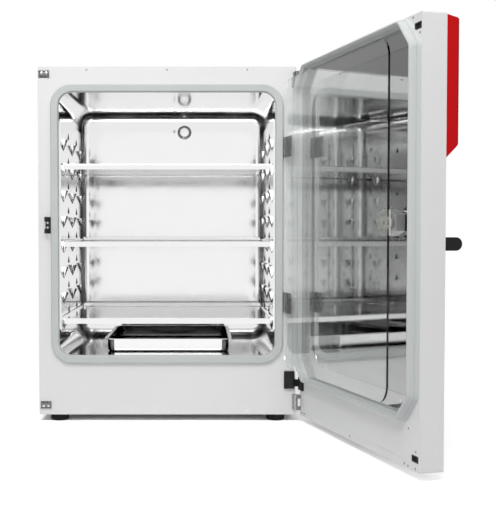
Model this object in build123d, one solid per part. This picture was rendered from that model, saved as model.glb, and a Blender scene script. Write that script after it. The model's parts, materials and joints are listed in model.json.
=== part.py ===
from build123d import *
import math
import os

# A free-standing laboratory incubator: insulated cabinet, deep-drawn chamber with three perforated
# shelves and a water tray, a full-size inner glass door and an insulated outer door with the controls.
# Millimetres. X to the right, Y to the back, Z up. The origin is the centre of the cabinet's underside.
# Both doors are modelled closed, then swung open by door_open_angle about their own hinges.

# ---- Cabinet housing ----
cabinet_width = 740.0
cabinet_depth = 700.0
cabinet_height = 1000.0
housing_sheet = 1.5
housing_flange = 18.0
base_sheet = 2.0
front_sheet = 2.0
front_corner_radius = 4.0

# ---- Chamber, set into the cabinet by its insulated walls ----
side_wall = 60.0
top_wall = 73.7
rear_wall = 130.0
chamber_floor_z = 172.7
chamber_corner_radius = 38.0
chamber_rear_radius = 24.0
liner_sheet = 1.2
heating_foil = 0.8
heating_foil_margin = 60.0
rear_insulation = 60.0

# ---- Chamber gasket, on the front frame round the opening ----
gasket_band = 22.0
gasket_set_back = 1.0
gasket_round = 4.0

# ---- Feet ----
foot_diameter = 53.0
foot_height = 20.0
foot_chamfer = 4.0
foot_inset_side = 55.0
foot_inset_depth = 35.0
foot_spigot_radius = 6.0
foot_seat_depth = 0.8
foot_seat_gap = 0.3

# ---- Side support panels, with scoops that carry the shelves ----
support_sheet = 1.0
support_gap = 3.0
support_front_inset = 10.0
support_rear_inset = 55.0
support_above_top_row = 61.0
support_below_bottom_tip = 8.0
support_corner_radius = 12.0
bottom_row_height = 102.7
scoop_headroom = 70.0
scoop_pitch = 74.6
scoop_radius = 15.0
scoop_height = 34.0
scoop_shares = (0.109, 0.515, 0.941)
drop_shares = (0.335, 0.727)
drop_radius = 3.5
drop_height = 22.0
drop_above_row = 12.0

# ---- Shelves ----
shelf_levels = (("shelf_lower", 0.0), ("shelf_middle", 0.43), ("shelf_upper", 0.86))
shelf_side_gap = 7.0
shelf_inset = 25.0
shelf_rear_gap = 50.0
shelf_sheet = 1.2
shelf_front_rim = 16.0
shelf_side_lip = 5.0
shelf_rear_lip = 11.0
shelf_margin = 40.0
shelf_holes_across = 9
shelf_holes_deep = 7
shelf_hole_radius = 11.0
seat_gap = 0.2

# ---- Water tray on the chamber floor ----
tray_side_gap = 129.0
tray_rear_gap = 55.0
tray_height = 38.0
tray_inset = 85.0
tray_sheet = 1.2
tray_rim = 9.0
tray_corner_radius = 26.0
tray_floor_round = 8.0
tray_boss_radius = 86.0
tray_boss_height = 7.0

# ---- Access port through the rear wall, with its stopper, and the sensor beside it ----
port_x = 42.0
port_below_roof = 57.3
port_bore_radius = 16.0
port_tube_radius = 18.0
port_flange_radius = 24.0
port_flange = 3.0
port_hole_gap = 0.3
stopper_gap = 0.3
stopper_length = 48.0
stopper_chamfer = 2.0
sensor_offset = -34.0
sensor_radius = 4.0
sensor_reach = 40.0
sensor_collar_radius = 6.4
sensor_collar_length = 4.0

# ---- Outer door ----
door_open_angle = 104.7
door_thickness = 58.0
door_gap = 27.5
door_sheet = 1.5
door_groove_margin = 18.0
door_groove_hinge_side = 30.0
door_groove_width = 1.2
door_groove_depth = 0.8
hinge_axis_outset = 0.0

# ---- Screws of the inner panel: distance in from the free or hinge side, then up or down from the edge ----
free_low_screws = ((19.0, 7.0), (55.0, 6.0), (73.0, 8.0), (18.0, 44.0), (54.0, 90.0))
free_high_screws = ((46.0, 6.0), (13.0, 44.0))
hinge_low_screws = ((8.0, 9.0), (22.0, 9.0), (34.0, 9.0))
middle_low_screw = (10.0, 9.0)

# ---- Outer door seal, the mirror panel inside it and the pocket for the knob ----
seal_inset = 3.0
seal_glass_margin = 11.5
seal_slope = 6.0
seal_corner_cut = 64.0
seal_corner_round = 30.0
seal_below_chamber = 72.7
seal_top_inset = 2.0
seal_clearance = 0.4
seal_round = 5.0
panel_gap = 0.2
pocket_size = 72.0
pocket_radius = 25.0
pocket_edge_gap = 0.5
pocket_knob_gap = 3.0

# ---- Outer door hinges ----
door_hinge_height = 45.0
door_hinge_inset = 15.0
door_hinge_radius = 6.0
door_hinge_pin_radius = 2.5
door_hinge_lug = 11.0
door_hinge_leaf = 10.0
hinge_play = 0.4
pin_play = 0.05

# ---- Hinge covers on the side where the doors could also hang ----
cover_width = 36.0
cover_height_upper = 20.0
cover_height_lower = 26.0
cover_margin_upper = 13.0
cover_margin_lower = 19.0
cover_inset = 4.0
cover_gap = 0.2
socket_width = 33.0
socket_height = 16.0
socket_margin = 20.0
socket_edge_margin = 5.0
socket_depth = 9.0
socket_wall = 1.5

# ---- Controls on the outer door ----
control_depth = 32.0
control_height = 309.0
control_top_inset = 4.0
control_top_fall = 8.0
control_wall = 2.5
control_round = 9.0
display_width = 150.0
display_height = 96.0
display_below_top = 150.0
display_lip = 7.0
display_sheet = 3.0
display_proud = 0.6
display_gap = 0.4

# ---- Door handle ----
handle_length = 140.0
handle_depth = 42.0
handle_height = 29.5
handle_post = 20.0
handle_grip = 17.0
handle_edge_inset = 3.0

# ---- Glass door ----
glass_sheet = 5.0
glass_side_lap = 28.5
glass_height_lap = 29.2
glass_corner_radius = 45.0
glass_gap = 13.0
glass_hinge_radius = 4.0
glass_hinge_pin_radius = 1.6
glass_hinge_outset = 3.3
glass_hinge_height = 57.5
glass_hinge_inset = 185.0
glass_leaf = 55.0
glass_leaf_sheet = 3.0

# ---- Glass door latch ----
latch_below_middle = 2.5
latch_plate_width = 54.0
latch_plate_height = 57.0
latch_plate_sheet = 3.0
knob_edge_inset = 22.5
knob_sides = 5
knob_radius = 31.0
knob_back_slope = 10.0
knob_back_radius = 20.0
knob_front_chamfer = 1.5
knob_standoff = 38.0
neck_radius = 11.0
tongue_reach = 29.0
tongue_height = 20.0
tongue_sheet = 2.0
strike_sheet = 2.0
strike_height = 47.0
strike_waist = 21.5
strike_lip = 7.5
strike_base = 3.0
latch_play = 0.3
latch_plate_holes = ((38.0, 16.0), (38.0, -16.0), (46.0, 0.0))
latch_plate_hole_radius = 1.8
spigot_radius = 5.5

# ---- Cable link between cabinet and outer door ----
cable_box_width = 29.0
cable_box_height = 50.0
cable_box_depth = 10.0
cable_box_bottom_z = 76.0
cable_mid_z = 93.0
cable_box_edge_inset = 4.0
cable_band_height = 23.0
cable_band = 6.0
cable_bracket_width = 28.0
cable_bracket_height = 38.0
cable_bracket_sheet = 8.0

# ---- Screws ----
screw_radius = 3.0
screw_proud = 0.2
screw_hole_gap = 0.15
frame_screw_spacing = 230.0
frame_screw_inset = 9.0
door_screw_radius = 2.5
screw_length = 8.0

# ---- Rear connections and electronics ----
electronics_width = 400.0
electronics_height = 330.0
electronics_depth = 46.0
electronics_below_top = 340.0
electronics_lid = 3.0
electronics_lid_inset = 8.0
inlet_x = -240.0
inlet_z = 120.0
inlet_width = 30.0
inlet_height = 24.0
inlet_depth = 22.0
inlet_bezel = 6.0
inlet_bezel_sheet = 3.0
gas_x = -150.0
gas_z = 120.0
gas_barb_radius = 3.2
gas_barb_length = 22.0
gas_body_radius = 9.0
gas_body_length = 12.0
gas_stub = 14.0
gas_barb_rise = 0.9
gas_barb_pitch = 7.0
vent_rows = 6
vent_width = 120.0
vent_slot = 4.0
vent_pitch = 12.0
vent_below_top = 280.0

# ---- Derived places ----
half_width = cabinet_width / 2
front_y = -cabinet_depth / 2
rear_y = cabinet_depth / 2
body_front_y = front_y + front_sheet
chamber_width = cabinet_width - 2 * side_wall
chamber_height = cabinet_height - top_wall - chamber_floor_z
chamber_depth = cabinet_depth - rear_wall
chamber_half = chamber_width / 2
chamber_mid_z = chamber_floor_z + chamber_height / 2
chamber_top_z = chamber_floor_z + chamber_height
chamber_rear_y = front_y + chamber_depth
port_z = chamber_top_z - port_below_roof
wrap = liner_sheet + heating_foil
insulation_rear_y = chamber_rear_y + wrap + rear_insulation
glass_inner_y = front_y - glass_gap
glass_outer_y = glass_inner_y - glass_sheet
glass_width = chamber_width + 2 * glass_side_lap
glass_height = chamber_height + 2 * glass_height_lap
glass_half = glass_width / 2
gasket_height = glass_gap - seal_clearance
latch_z = chamber_mid_z - latch_below_middle
glass_hinge_reach = glass_height / 2 - glass_hinge_inset
glass_hinge_bottom_z = (latch_z - glass_hinge_reach - glass_hinge_height / 2,
                        latch_z + glass_hinge_reach - glass_hinge_height / 2)
door_inner_y = front_y - door_gap
door_outer_y = door_inner_y - door_thickness
door_hinge_bottom_z = (door_hinge_inset, cabinet_height - door_hinge_inset - door_hinge_height)
window_half = glass_half + seal_glass_margin
seal_band = half_width - seal_inset - window_half
seal_bottom_z = chamber_floor_z - seal_below_chamber
seal_top_z = cabinet_height - seal_top_inset
seal_mid_z = (seal_bottom_z + seal_top_z) / 2
seal_width = cabinet_width - 2 * seal_inset
seal_height = seal_top_z - seal_bottom_z
control_top_z = cabinet_height - control_top_inset
control_bottom_z = control_top_z - control_height
display_z = cabinet_height - display_below_top
handle_z = cabinet_height / 2
door_axis = Axis((half_width + hinge_axis_outset, front_y - door_gap / 2, 0), (0, 0, 1))
glass_axis_x = glass_half + glass_hinge_outset
glass_axis_y = glass_outer_y - glass_hinge_radius - seat_gap
glass_axis = Axis((glass_axis_x, glass_axis_y, 0), (0, 0, 1))
knob_x = -(glass_half - knob_edge_inset)
strike_outer_x = -(window_half - 1.0)
pocket_x = -(window_half - pocket_edge_gap - pocket_size / 2)
pocket_floor_y = glass_outer_y - knob_standoff - pocket_knob_gap
support_x = chamber_half - support_gap
support_front_y = front_y + support_front_inset
support_depth = chamber_depth - support_front_inset - support_rear_inset
bottom_row_z = chamber_floor_z + bottom_row_height
scoop_rows = int((chamber_height - bottom_row_height - scoop_headroom) / scoop_pitch) + 1
shelf_rows = [(name, round((scoop_rows - 1) * share)) for name, share in shelf_levels]
electronics_top_z = cabinet_height - electronics_below_top
vent_bottom_z = cabinet_height - vent_below_top


def block(x0, x1, y0, y1, z0, z1):
    """Box between two opposite corners."""
    size = abs(x1 - x0), abs(y1 - y0), abs(z1 - z0)
    return Pos((x0 + x1) / 2, (y0 + y1) / 2, (z0 + z1) / 2) * Box(*size)


def prism_x(outline, x0, x1):
    """Outline in Y and Z, drawn out along X."""
    return extrude(Plane.YZ.offset(x0) * outline, amount=x1 - x0, dir=(1, 0, 0))


def prism_y(outline, y0, y1):
    """Outline in X and Z, drawn out along Y."""
    return extrude(Plane.XZ.offset(-y0) * outline, amount=y1 - y0, dir=(0, 1, 0))


def prism_z(outline, z0, z1):
    """Outline in X and Y, drawn out along Z."""
    return extrude(Plane.XY.offset(z0) * outline, amount=z1 - z0, dir=(0, 0, 1))


def rod_y(x, z, radius, y0, y1):
    """Cylinder along Y."""
    return prism_y(Pos(x, z) * Circle(radius), y0, y1)


def rod_z(x, y, radius, z0, z1):
    """Cylinder along Z."""
    return prism_z(Pos(x, y) * Circle(radius), z0, z1)


def plate(mid_z, width, height, radius, y0, y1):
    """Rounded plate across the front, centred on X."""
    return prism_y(Pos(0, mid_z) * RectangleRounded(width, height, radius), y0, y1)


def edges_at_y(shape, y):
    return shape.edges().filter_by_position(Axis.Y, y - 0.01, y + 0.01)


def swing_door(shape):
    return shape.rotate(door_axis, door_open_angle)


def swing_glass(shape):
    return shape.rotate(glass_axis, door_open_angle)


# ---------------------------------------------------------------- cabinet
def housing_side(side):
    """Side panel with return flanges in front and behind."""
    outer = side * half_width
    inner = side * (half_width - housing_sheet)
    lip = side * (half_width - housing_flange)
    sheet = block(outer, inner, body_front_y, rear_y, 0, cabinet_height)
    flange_y = rear_y - housing_sheet
    flange = block(inner, lip, flange_y - housing_sheet, flange_y, base_sheet, cabinet_height - housing_sheet)
    return sheet + flange


def housing_top():
    edge = half_width - housing_sheet
    return block(-edge, edge, body_front_y, rear_y, cabinet_height - housing_sheet, cabinet_height)


def foot_places():
    x = half_width - foot_inset_side
    y = cabinet_depth / 2 - foot_inset_depth
    return [("foot_front_left", -x, -y), ("foot_front_right", x, -y),
            ("foot_rear_left", -x, y), ("foot_rear_right", x, y)]


def housing_base():
    edge = half_width - housing_sheet
    sheet = block(-edge, edge, body_front_y, rear_y, 0, base_sheet)
    for _, x, y in foot_places():
        sheet -= rod_z(x, y, foot_diameter / 2 + foot_seat_gap, -1, foot_seat_depth)
        sheet -= rod_z(x, y, foot_spigot_radius + pin_play, -1, base_sheet + 1)
    return sheet


def housing_rear():
    """Rear panel with vents above the electronics and holes for port, inlet and gas fitting."""
    edge = half_width - housing_sheet
    y0 = rear_y - housing_sheet
    sheet = block(-edge, edge, y0, rear_y, base_sheet, cabinet_height - housing_sheet)
    sheet -= rod_y(port_x, port_z, port_tube_radius + port_hole_gap, y0 - 1, rear_y + 1)
    sheet -= block(inlet_x - inlet_width / 2, inlet_x + inlet_width / 2, y0 - 1, rear_y + 1,
                   inlet_z - inlet_height / 2, inlet_z + inlet_height / 2)
    sheet -= rod_y(gas_x, gas_z, gas_barb_radius + port_hole_gap, y0 - 1, rear_y + 1)
    for row in range(vent_rows):
        z = vent_bottom_z + row * vent_pitch
        slot = Pos(inlet_x, z) * SlotOverall(vent_width, vent_slot)
        sheet -= prism_y(slot, y0 - 1, rear_y + 1)
    return sheet


def frame_screw_places():
    return [(x * frame_screw_spacing, z) for x in (-1, 0, 1)
            for z in (frame_screw_inset, cabinet_height - frame_screw_inset)]


def cover_places():
    """Height and lower edge of each cover."""
    return [(cover_height_upper, cabinet_height - cover_margin_upper - cover_height_upper),
            (cover_height_lower, cover_margin_lower)]


def cover_outline(height, z, grow=0.0):
    x = -half_width + cover_inset + cover_width / 2
    return Pos(x, z + height / 2) * Rectangle(cover_width + 2 * grow, height + 2 * grow)


def front_frame():
    """White front face with the chamber opening, seats for the hinge covers and screw holes."""
    frame = plate(cabinet_height / 2, cabinet_width, cabinet_height, front_corner_radius, front_y, body_front_y)
    frame -= plate(chamber_mid_z, chamber_width + 2 * liner_sheet, chamber_height + 2 * liner_sheet,
                   chamber_corner_radius + liner_sheet, front_y - 1, body_front_y + 1)
    for height, z in cover_places():
        frame -= prism_y(cover_outline(height, z, cover_gap), front_y - 1, body_front_y + 1)
    for x, z in frame_screw_places():
        frame -= rod_y(x, z, screw_radius + screw_hole_gap, front_y - 1, body_front_y + 1)
    return frame


def cover_screw_places():
    left = -half_width + cover_inset
    return [(left + cover_width * share, z + height / 2) for height, z in cover_places() for share in (0.25, 0.75)]


def hinge_covers():
    covers = [prism_y(cover_outline(height, z), front_y, body_front_y) for height, z in cover_places()]
    for x, z in cover_screw_places():
        hole = rod_y(x, z, screw_radius + screw_hole_gap, front_y - 1, body_front_y + 1)
        covers = [cover - hole for cover in covers]
    return Compound(covers)


def cabinet_screws():
    """Flat heads in the front frame, the hinge covers and the strike."""
    heads = [rod_y(x, z, screw_radius, front_y - screw_proud, body_front_y)
             for x, z in frame_screw_places() + cover_screw_places()]
    face = front_y - strike_base
    heads += [rod_y(x, z, screw_radius, face - screw_proud, front_y) for x, z in strike_screw_places()]
    return Compound(heads)


def foot(x, y):
    """Rubber foot with a spigot that sits in the base."""
    pad = rod_z(x, y, foot_diameter / 2, -foot_height, foot_seat_depth)
    ground = pad.edges().filter_by_position(Axis.Z, -foot_height - 0.01, -foot_height + 0.01)
    return chamfer(ground, foot_chamfer) + rod_z(x, y, foot_spigot_radius, 0, base_sheet)


def chamber_outer(grow, rear_grow):
    """Chamber block with rounded long edges and a rounded rear, grown by a wall."""
    rear = chamber_rear_y + rear_grow
    body = plate(chamber_mid_z, chamber_width + 2 * grow, chamber_height + 2 * grow,
                 chamber_corner_radius + grow, front_y, rear)
    return fillet(edges_at_y(body, rear), chamber_rear_radius + grow)


def chamber_liner():
    """Deep-drawn stainless chamber, open in front."""
    liner = chamber_outer(liner_sheet, liner_sheet) - chamber_outer(0, 0)
    return liner - rod_y(port_x, port_z, port_tube_radius + port_hole_gap, chamber_rear_y - 1, chamber_rear_y + 5)


def heating_foils():
    """Flat heaters on the outside of the five chamber walls."""
    inner = chamber_half + liner_sheet
    outer = inner + heating_foil
    floor = chamber_floor_z - liner_sheet
    roof = chamber_top_z + liner_sheet
    y0, y1 = front_y + heating_foil_margin, chamber_rear_y - heating_foil_margin
    z0, z1 = chamber_floor_z + heating_foil_margin, chamber_top_z - heating_foil_margin
    x1 = chamber_half - heating_foil_margin
    rear = chamber_rear_y + liner_sheet
    rear_top = port_z - port_flange_radius - heating_foil_margin / 2
    return Compound([
        block(-outer, -inner, y0, y1, z0, z1),
        block(inner, outer, y0, y1, z0, z1),
        block(-x1, x1, y0, y1, roof, roof + heating_foil),
        block(-x1, x1, y0, y1, floor - heating_foil, floor),
        block(-x1, x1, rear, rear + heating_foil, z0, rear_top),
    ])


def cabinet_insulation():
    """Five slabs between the heated chamber and the housing."""
    inner = chamber_half + wrap
    outer = half_width - housing_sheet
    floor, roof = chamber_floor_z - wrap, chamber_top_z + wrap
    bottom, top = base_sheet, cabinet_height - housing_sheet
    y0, y1 = body_front_y, insulation_rear_y
    rear = block(-inner, inner, chamber_rear_y + wrap, y1, floor, roof)
    rear -= rod_y(port_x, port_z, port_tube_radius + port_hole_gap, y0, y1 + 1)
    return Compound([
        block(-outer, -inner, y0, y1, bottom, top),
        block(inner, outer, y0, y1, bottom, top),
        block(-inner, inner, y0, y1, roof, top),
        block(-inner, inner, y0, y1, bottom, floor),
        rear,
    ])


def chamber_gasket():
    """Silicone band round the opening, rounded on both front edges."""
    width = chamber_width + 2 * (gasket_set_back + gasket_band)
    height = chamber_height + 2 * (gasket_set_back + gasket_band)
    radius = chamber_corner_radius + gasket_set_back + gasket_band
    face = front_y - gasket_height
    ring = plate(chamber_mid_z, width, height, radius, front_y, face)
    ring -= plate(chamber_mid_z, width - 2 * gasket_band, height - 2 * gasket_band,
                  radius - gasket_band, front_y + 1, face - 1)
    return fillet(edges_at_y(ring, face), gasket_round)


def teardrop(y, z):
    """Drop-shaped opening: round below, pointed above."""
    tip = drop_height - drop_radius
    spread = math.acos(drop_radius / tip)
    side_y, side_z = drop_radius * math.sin(spread), drop_radius * math.cos(spread)
    tip_shape = Polygon((-side_y, side_z), (side_y, side_z), (0, tip), align=None)
    return Pos(y, z + drop_radius) * (Circle(drop_radius) + tip_shape)


def side_support_panel(side):
    """Sheet in front of the chamber wall, lanced into scoops whose rims carry the shelves."""
    y0 = support_front_y
    top_row_z = bottom_row_z + (scoop_rows - 1) * scoop_pitch
    z0 = bottom_row_z - scoop_height - support_below_bottom_tip
    z1 = top_row_z + support_above_top_row
    outline = Pos(y0 + support_depth / 2, (z0 + z1) / 2) * RectangleRounded(
        support_depth, z1 - z0, support_corner_radius)
    wall_x, face_x = support_x, support_x - support_sheet
    panel = prism_x(outline, face_x, wall_x)
    flange_z0, flange_z1 = z0 + support_corner_radius, z1 - support_corner_radius
    for y in (y0, y0 + support_depth - support_sheet):
        panel += block(face_x, chamber_half, y, y + support_sheet, flange_z0, flange_z1)
    cone = Cone(0, scoop_radius, scoop_height)
    hollow_radius = scoop_radius - support_sheet
    hollow = Cone(0, hollow_radius, scoop_height * hollow_radius / scoop_radius)
    inward = Pos(-scoop_radius, 0, 0) * Box(2 * scoop_radius, 2 * scoop_radius, scoop_height)
    half_cone = cone & inward
    cups, hollows, drops = [], [], []
    for row in range(scoop_rows):
        z = bottom_row_z + row * scoop_pitch
        for share in scoop_shares:
            y = y0 + share * support_depth
            cups.append(Pos(face_x, y, z - scoop_height / 2) * half_cone)
            depth = scoop_height * hollow_radius / scoop_radius
            hollows.append(Pos(face_x, y, z - depth / 2) * hollow)
        for share in drop_shares:
            drops.append(teardrop(y0 + share * support_depth, z + drop_above_row))
    panel = panel + cups - hollows
    panel -= prism_x(Sketch() + drops, face_x - 1, wall_x + 1)
    return panel if side > 0 else mirror(panel, Plane.YZ)


# ---------------------------------------------------------------- shelves and tray
def shelf_z(row):
    return bottom_row_z + row * scoop_pitch + seat_gap


def shelf(row):
    """Perforated sheet, folded down in front and up at the sides and rear."""
    half = chamber_half - shelf_side_gap
    y0 = front_y + shelf_inset
    y1 = chamber_rear_y - shelf_rear_gap
    z0 = shelf_z(row)
    z1 = z0 + shelf_sheet
    sheet = block(-half, half, y0, y1, z0, z1)
    sheet += block(-half, half, y0, y0 + shelf_sheet, z1 - shelf_front_rim, z1)
    sheet += block(-half, half, y1 - shelf_sheet, y1, z0, z1 + shelf_rear_lip)
    for side in (-1, 1):
        sheet += block(side * half, side * (half - shelf_sheet), y0, y1, z0, z1 + shelf_side_lip)
    step_x = 2 * (half - shelf_margin) / (shelf_holes_across - 1)
    step_y = (y1 - y0 - 2 * shelf_margin) / (shelf_holes_deep - 1)
    holes = []
    for j in range(shelf_holes_deep):
        shift = (j % 2) * step_x / 2
        for i in range(shelf_holes_across - j % 2):
            x = -half + shelf_margin + shift + i * step_x
            holes.append(Pos(x, y0 + shelf_margin + j * step_y) * RegularPolygon(shelf_hole_radius, 6))
    return sheet - prism_z(Sketch() + holes, z0 - 1, z1 + 1)


def water_tray():
    """Drawn tray with an outward rim and a raised round boss in its floor."""
    tray_width = chamber_width - 2 * tray_side_gap
    tray_depth = chamber_depth - tray_inset - tray_rear_gap
    y_mid = front_y + tray_inset + tray_depth / 2
    z0 = chamber_floor_z + seat_gap
    z1 = z0 + tray_height
    at = Pos(0, y_mid)
    body = prism_z(at * RectangleRounded(tray_width, tray_depth, tray_corner_radius), z0, z1)
    floor_edges = body.edges().filter_by_position(Axis.Z, z0 - 0.01, z0 + 0.01)
    body = fillet(floor_edges, tray_floor_round)
    rim = at * RectangleRounded(tray_width + 2 * tray_rim, tray_depth + 2 * tray_rim,
                                tray_corner_radius + tray_rim)
    body += prism_z(rim, z1 - tray_sheet, z1)
    inside = at * RectangleRounded(tray_width - 2 * tray_sheet, tray_depth - 2 * tray_sheet,
                                   tray_corner_radius - tray_sheet)
    hollow = prism_z(inside, z0 + tray_sheet, z1 + 5)
    hollow_edges = hollow.edges().filter_by_position(Axis.Z, z0 + tray_sheet - 0.01, z0 + tray_sheet + 0.01)
    body -= fillet(hollow_edges, tray_floor_round - tray_sheet)
    body += rod_z(0, y_mid, tray_boss_radius, z0, z0 + tray_boss_height)
    return body - rod_z(0, y_mid, tray_boss_radius - tray_sheet, z0 - 1, z0 + tray_boss_height - tray_sheet)


# ---------------------------------------------------------------- port, sensor, rear
def port_sleeve():
    """Tube through the rear wall with a flange at each end."""
    front, back = chamber_rear_y - port_flange, rear_y + port_flange
    sleeve = rod_y(port_x, port_z, port_tube_radius, front, back)
    sleeve += rod_y(port_x, port_z, port_flange_radius, front, chamber_rear_y)
    sleeve += rod_y(port_x, port_z, port_flange_radius, rear_y, back)
    return sleeve - rod_y(port_x, port_z, port_bore_radius, front - 1, back + 1)


def port_stopper():
    front = chamber_rear_y - port_flange
    stopper = rod_y(port_x, port_z, port_bore_radius - stopper_gap, front, front + stopper_length)
    return chamfer(edges_at_y(stopper, front + stopper_length), stopper_chamfer)


def sensor_probe():
    x = port_x + sensor_offset
    probe = rod_y(x, port_z, sensor_radius, chamber_rear_y - sensor_reach, chamber_rear_y)
    probe = chamfer(edges_at_y(probe, chamber_rear_y - sensor_reach), sensor_radius / 2)
    return probe + rod_y(x, port_z, sensor_collar_radius, chamber_rear_y - sensor_collar_length, chamber_rear_y)


def electronics_module():
    """Controller and power supply case on the rear panel, with a lid step."""
    back = rear_y - housing_sheet
    front = back - electronics_depth
    half = electronics_width / 2
    bottom = electronics_top_z - electronics_height
    case = block(-half, half, front, back, bottom, electronics_top_z)
    lid_half = half - electronics_lid_inset
    lid = block(-lid_half, lid_half, front - electronics_lid, front,
                bottom + electronics_lid_inset, electronics_top_z - electronics_lid_inset)
    return case + lid


def mains_inlet():
    """Recessed appliance inlet with three blades."""
    back = rear_y + inlet_bezel_sheet
    w, h = inlet_width / 2, inlet_height / 2
    body = block(inlet_x - w + 0.3, inlet_x + w - 0.3, rear_y - inlet_depth, back, inlet_z - h + 0.3, inlet_z + h - 0.3)
    w, h = w + inlet_bezel, h + inlet_bezel
    body += block(inlet_x - w, inlet_x + w, rear_y, back, inlet_z - h, inlet_z + h)
    socket = Pos(inlet_x, inlet_z) * RectangleRounded(inlet_width - 6, inlet_height - 6, 4)
    body -= prism_y(socket, back + 1, rear_y - inlet_depth + 4)
    for dx, dz in ((-7, -2), (0, 2), (7, -2)):
        x, z = inlet_x + dx, inlet_z + dz
        body += block(x - 1, x + 1, rear_y - inlet_depth + 3, rear_y - 3, z - 2, z + 2)
    return body


def gas_fitting():
    """Hose fitting: hexagon body on the rear panel and a barbed tail."""
    body = prism_y(Pos(gas_x, gas_z) * RegularPolygon(gas_body_radius, 6), rear_y, rear_y + gas_body_length)
    tip = rear_y + gas_body_length + gas_barb_length
    body += rod_y(gas_x, gas_z, gas_barb_radius, rear_y - gas_stub, tip)
    for step in (1, 2):
        place = Pos(gas_x, tip - step * gas_barb_pitch, gas_z) * Rot(-90, 0, 0)
        body += place * Cone(gas_barb_radius + gas_barb_rise, gas_barb_radius, gas_barb_pitch - 2)
    return body


# ---------------------------------------------------------------- outer door (closed position)
def door_outer_shell():
    """Folded door tray, open towards the cabinet."""
    mid = cabinet_height / 2
    shell = plate(mid, cabinet_width, cabinet_height, front_corner_radius, door_outer_y, door_inner_y)
    return shell - plate(mid, cabinet_width - 2 * door_sheet, cabinet_height - 2 * door_sheet,
                         front_corner_radius - door_sheet, door_outer_y + door_sheet, door_inner_y + 1)


def socket_places():
    x = -(half_width - socket_edge_margin - socket_width / 2)
    z = socket_margin + socket_height / 2
    return [(x, z), (x, cabinet_height - z)]


def door_screw_places():
    """Near the free side's sockets, at the hinge side and in the middle of the lower edge."""
    places = [(x - half_width, z) for x, z in free_low_screws]
    places += [(x - half_width, cabinet_height - z) for x, z in free_high_screws]
    places += [(half_width - x, z) for x, z in hinge_low_screws]
    return places + [middle_low_screw]


def seal_outline(inset):
    """Outline of the seal, cut across its corners and moved inward by an inset."""
    outline = Rectangle(seal_width - 2 * inset, seal_height - 2 * inset)
    outline = chamfer(outline.vertices(), seal_corner_cut - (2 - math.sqrt(2)) * inset)
    return Pos(0, seal_mid_z) * fillet(outline.vertices(), seal_corner_round - inset)


def door_inner_panel():
    """Inner face round the mirror panel, with shallow seams and the screw holes."""
    w, h = cabinet_width - 2 * door_sheet, cabinet_height - 2 * door_sheet
    back = door_inner_y - door_sheet
    panel = plate(cabinet_height / 2, w, h, front_corner_radius - door_sheet, back, door_inner_y)
    panel -= prism_y(seal_outline(seal_band / 2 - panel_gap), back - 1, door_inner_y + 1)
    seam_y = door_inner_y - door_groove_depth
    seam_x = half_width - door_groove_hinge_side
    for z in (door_groove_margin, cabinet_height - door_groove_margin):
        panel -= block(-seam_x + socket_width, seam_x, seam_y, door_inner_y + 1, z, z + door_groove_width)
    panel -= block(seam_x, seam_x + door_groove_width, seam_y, door_inner_y + 1,
                   door_groove_margin, seal_bottom_z - 5)
    for x, z in socket_places():
        panel -= prism_y(Pos(x, z) * Rectangle(socket_width, socket_height), back - 1, door_inner_y + 1)
    for x, z in door_screw_places():
        panel -= rod_y(x, z, door_screw_radius + screw_hole_gap, back - 1, door_inner_y + 1)
    return panel


def door_screws():
    back = door_inner_y - door_sheet - screw_length
    heads = [rod_y(x, z, door_screw_radius, back, door_inner_y + screw_proud) for x, z in door_screw_places()]
    return swing_door(Compound(heads))


def door_hinge_sockets():
    """Dark cups in the free side, where the hinges go when the door is hung the other way."""
    cups = []
    back = door_inner_y - socket_depth
    for x, z in socket_places():
        w, h = socket_width - 2 * cover_gap, socket_height - 2 * cover_gap
        cup = prism_y(Pos(x, z) * Rectangle(w, h), back, door_inner_y)
        cup -= prism_y(Pos(x, z) * Rectangle(w - 2 * socket_wall, h - 2 * socket_wall),
                       back + socket_wall, door_inner_y + 1)
        cups.append(cup)
    return swing_door(Compound(cups))


def door_insulation():
    """Slab behind the knob's pocket and four slabs round it, cut to the inside of the shell."""
    outer = half_width - door_sheet
    top = cabinet_height - door_sheet
    reach = pocket_size / 2 + door_sheet
    left, right = pocket_x - reach, pocket_x + reach
    low, high = latch_z - reach, latch_z + reach
    y0, y1 = door_outer_y + door_sheet, pocket_floor_y - door_sheet
    y2 = door_inner_y - door_sheet
    slabs = [block(-outer, outer, y0, y1, door_sheet, top),
             block(-outer, left, y1, y2, door_sheet, top), block(right, outer, y1, y2, door_sheet, top),
             block(left, right, y1, y2, door_sheet, low), block(left, right, y1, y2, high, top)]
    room = plate(cabinet_height / 2, 2 * outer, top - door_sheet, front_corner_radius - door_sheet, y0, y2)
    for x, z in socket_places():
        room -= prism_y(Pos(x, z) * Rectangle(socket_width, socket_height), door_inner_y - socket_depth, y2 + 1)
    for x, z in door_screw_places():
        room -= rod_y(x, z, door_screw_radius + screw_hole_gap, y2 - screw_length, y2 + 1)
    return swing_door(Compound([room & slab for slab in slabs]))


def pocket_outline(grow):
    size = pocket_size + 2 * grow
    return Pos(pocket_x, latch_z) * RectangleRounded(size, size, pocket_radius + grow)


def door_mirror_panel():
    """Polished panel held under the seal, with a drawn pocket that takes the knob of the glass door."""
    back = door_inner_y - door_sheet
    panel = prism_y(seal_outline(seal_band / 2), back, door_inner_y)
    panel += prism_y(pocket_outline(door_sheet), pocket_floor_y - door_sheet, back)
    return panel - prism_y(pocket_outline(0), pocket_floor_y, door_inner_y + 1)


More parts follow.
